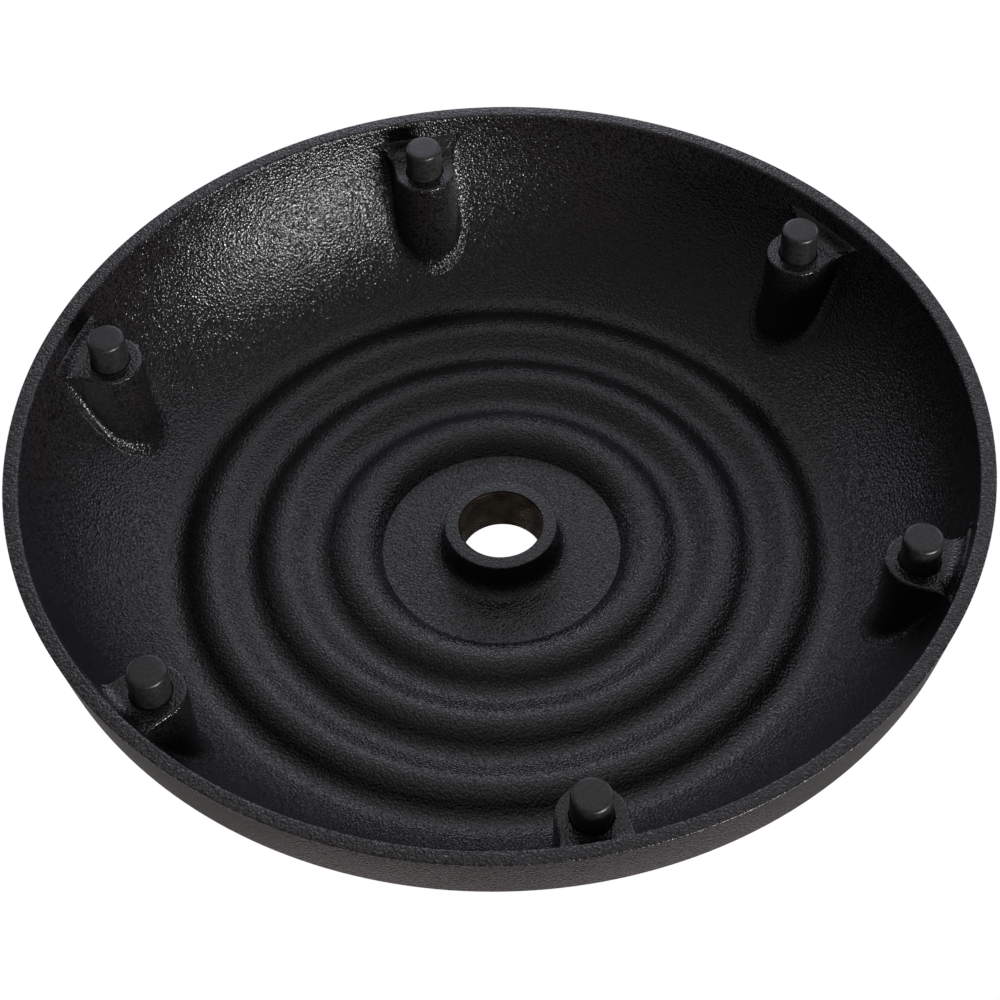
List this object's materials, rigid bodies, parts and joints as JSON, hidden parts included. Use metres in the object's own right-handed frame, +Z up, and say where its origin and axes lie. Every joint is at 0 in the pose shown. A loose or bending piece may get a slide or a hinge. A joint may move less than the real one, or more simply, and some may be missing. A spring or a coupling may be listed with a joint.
{
  "type": "flag pole stand",
  "caption": "Heavy round cast stand with a hollow ringed dome, a threaded socket for a pole at its middle, and short rubber feet.",
  "frame": {"origin": "centre of the circle that the six foot tips stand on, at floor level", "axes": "+Z up along the pole's axis, +X through the centre of rubber_foot_1"},
  "size_m": [0.4, 0.4, 0.0811],
  "materials": {
    "painted_casting": "sand-cast grey iron under semi-gloss black paint",
    "foot_rubber": "matte moulded black rubber"
  },
  "bodies": {
    "root": {"base_casting": "painted_casting", "rubber_foot_1": "foot_rubber", "rubber_foot_2": "foot_rubber", "rubber_foot_3": "foot_rubber", "rubber_foot_4": "foot_rubber", "rubber_foot_5": "foot_rubber", "rubber_foot_6": "foot_rubber"}
  },
  "joints": []
}
